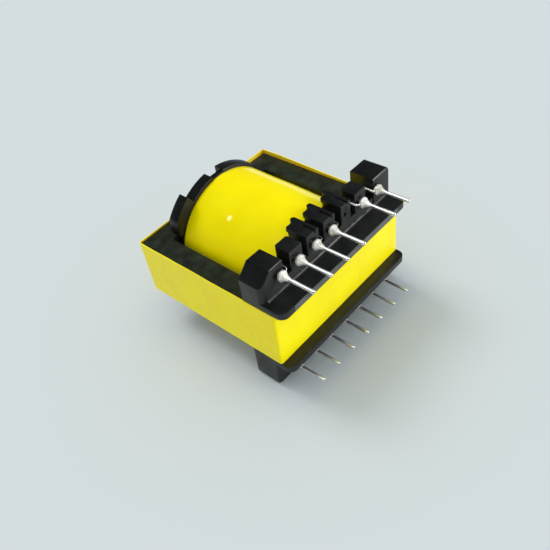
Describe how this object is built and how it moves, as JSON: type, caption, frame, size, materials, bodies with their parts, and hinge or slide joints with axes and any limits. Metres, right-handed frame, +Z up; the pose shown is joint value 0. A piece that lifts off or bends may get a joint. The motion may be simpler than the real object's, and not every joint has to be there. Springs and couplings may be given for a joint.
{
  "type": "ferrite transformer",
  "caption": "Through-hole ferrite power transformer: yellow-taped core and winding on a black pinned coil former, lying on its side.",
  "frame": {"origin": "centre of the bounding box on the plane that the part lies on", "axes": "+X along the pin rows, -Y the way the pins point, along the winding axis, +Z up as it lies in the picture"},
  "size_m": [0.0402, 0.0444, 0.0302],
  "materials": {
    "phenolic": "glossy black moulding",
    "ferrite": "fired and ground, dull",
    "core_tape": "polyester film tape",
    "winding_tape": "polyester film tape",
    "clear_tape": "polyester film tape",
    "copper": "enamelled copper wire",
    "tinned_wire": "bright tin",
    "solder": "solder, softly bright",
    "tinned_lead": "tinned copper wire"
  },
  "bodies": {
    "root": {"bobbin": "phenolic", "core_half_pin_side": "ferrite", "core_half_far_side": "ferrite", "core_tape": "core_tape", "primary_winding_inner": "copper", "secondary_winding_1": "copper", "secondary_winding_2": "copper", "secondary_winding_3": "copper", "auxiliary_winding": "copper", "primary_winding_outer": "copper", "insulation_tape_1": "clear_tape", "insulation_tape_2": "clear_tape", "insulation_tape_3": "clear_tape", "insulation_tape_4": "clear_tape", "insulation_tape_5": "clear_tape", "winding_outer_tape": "winding_tape", "pin_upper_1": "tinned_wire", "pin_upper_2": "tinned_wire", "pin_upper_3": "tinned_wire", "pin_upper_4": "tinned_wire", "pin_upper_6": "tinned_wire", "pin_upper_7": "tinned_wire", "pin_lower_1": "tinned_wire", "pin_lower_2": "tinned_wire", "pin_lower_3": "tinned_wire", "pin_lower_4": "tinned_wire", "pin_lower_5": "tinned_wire", "pin_lower_6": "tinned_wire", "pin_lower_7": "tinned_wire", "solder_upper_1": "solder", "solder_upper_2": "solder", "solder_upper_3": "solder", "solder_upper_4": "solder", "solder_upper_6": "solder", "solder_upper_7": "solder", "solder_lower_1": "solder", "solder_lower_2": "solder", "solder_lower_3": "solder", "solder_lower_4": "solder", "solder_lower_5": "solder", "solder_lower_6": "solder", "solder_lower_7": "solder", "lead_upper_1": "tinned_lead", "lead_upper_2": "tinned_lead", "lead_upper_3": "tinned_lead", "lead_upper_4": "tinned_lead", "lead_upper_6": "tinned_lead", "lead_upper_7": "tinned_lead", "lead_lower_1": "tinned_lead", "lead_lower_2": "tinned_lead", "lead_lower_3": "tinned_lead", "lead_lower_4": "tinned_lead", "lead_lower_5": "tinned_lead", "lead_lower_6": "tinned_lead", "lead_lower_7": "tinned_lead"}
  },
  "joints": []
}
